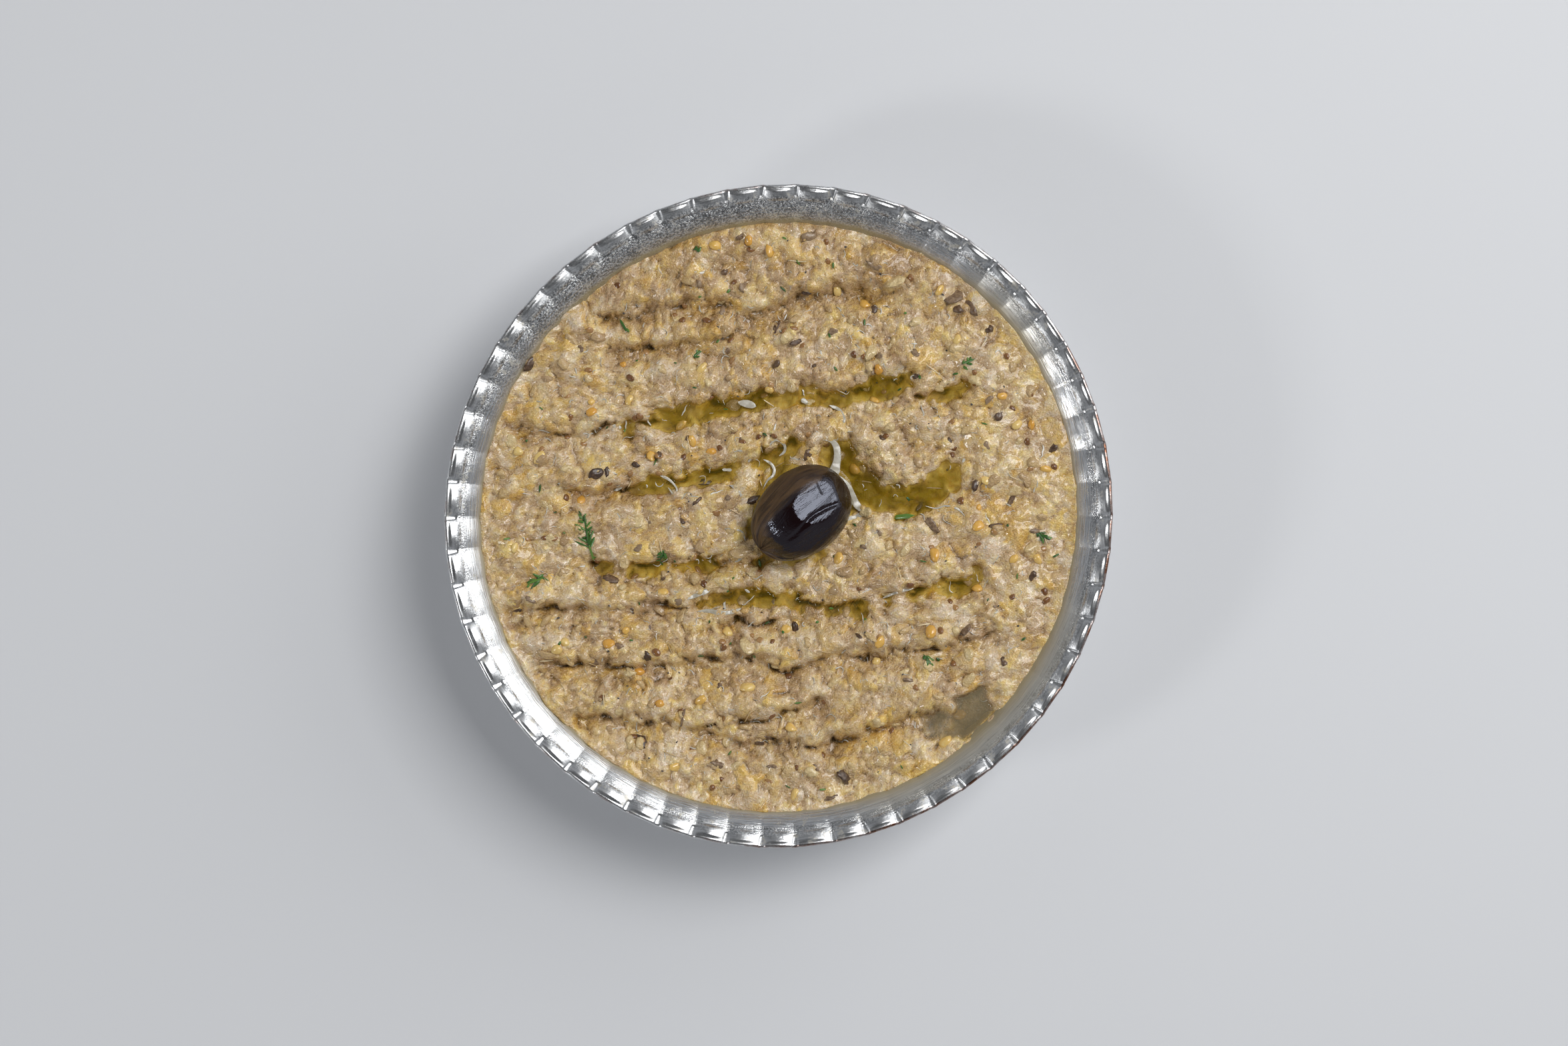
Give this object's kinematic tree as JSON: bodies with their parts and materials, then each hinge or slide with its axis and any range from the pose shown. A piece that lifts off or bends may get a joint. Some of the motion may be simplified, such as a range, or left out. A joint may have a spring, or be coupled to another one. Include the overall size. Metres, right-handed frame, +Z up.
{
  "type": "baba ganoush in a bowl",
  "caption": "Round bowl with a fluted rim, filled with a coarse aubergine dip raked into furrows, with oil in the furrows and a black olive.",
  "frame": {"origin": "centre of the bowl's flat base, at the bottom centre of the whole", "axes": "+Z up; the furrows of the dip run roughly along X, and the large pool of oil is on the +X side of the olive"},
  "size_m": [0.15, 0.15, 0.0412],
  "materials": {
    "tinned_copper": "worn hand-wiped tin inside, hammered copper outside",
    "dip": "moist coarse pulp",
    "olive_skin": "wet wrinkled skin",
    "olive_oil": "clear liquid",
    "dip_juice": "clear liquid"
  },
  "bodies": {
    "root": {"bowl": "tinned_copper", "dip": "dip", "olive": "olive_skin", "oil_north": "olive_oil", "oil_northwest": "olive_oil", "oil_west": "olive_oil", "oil_south": "olive_oil", "oil_southeast": "olive_oil", "oil_east": "olive_oil", "juice_pocket": "dip_juice"}
  },
  "joints": []
}
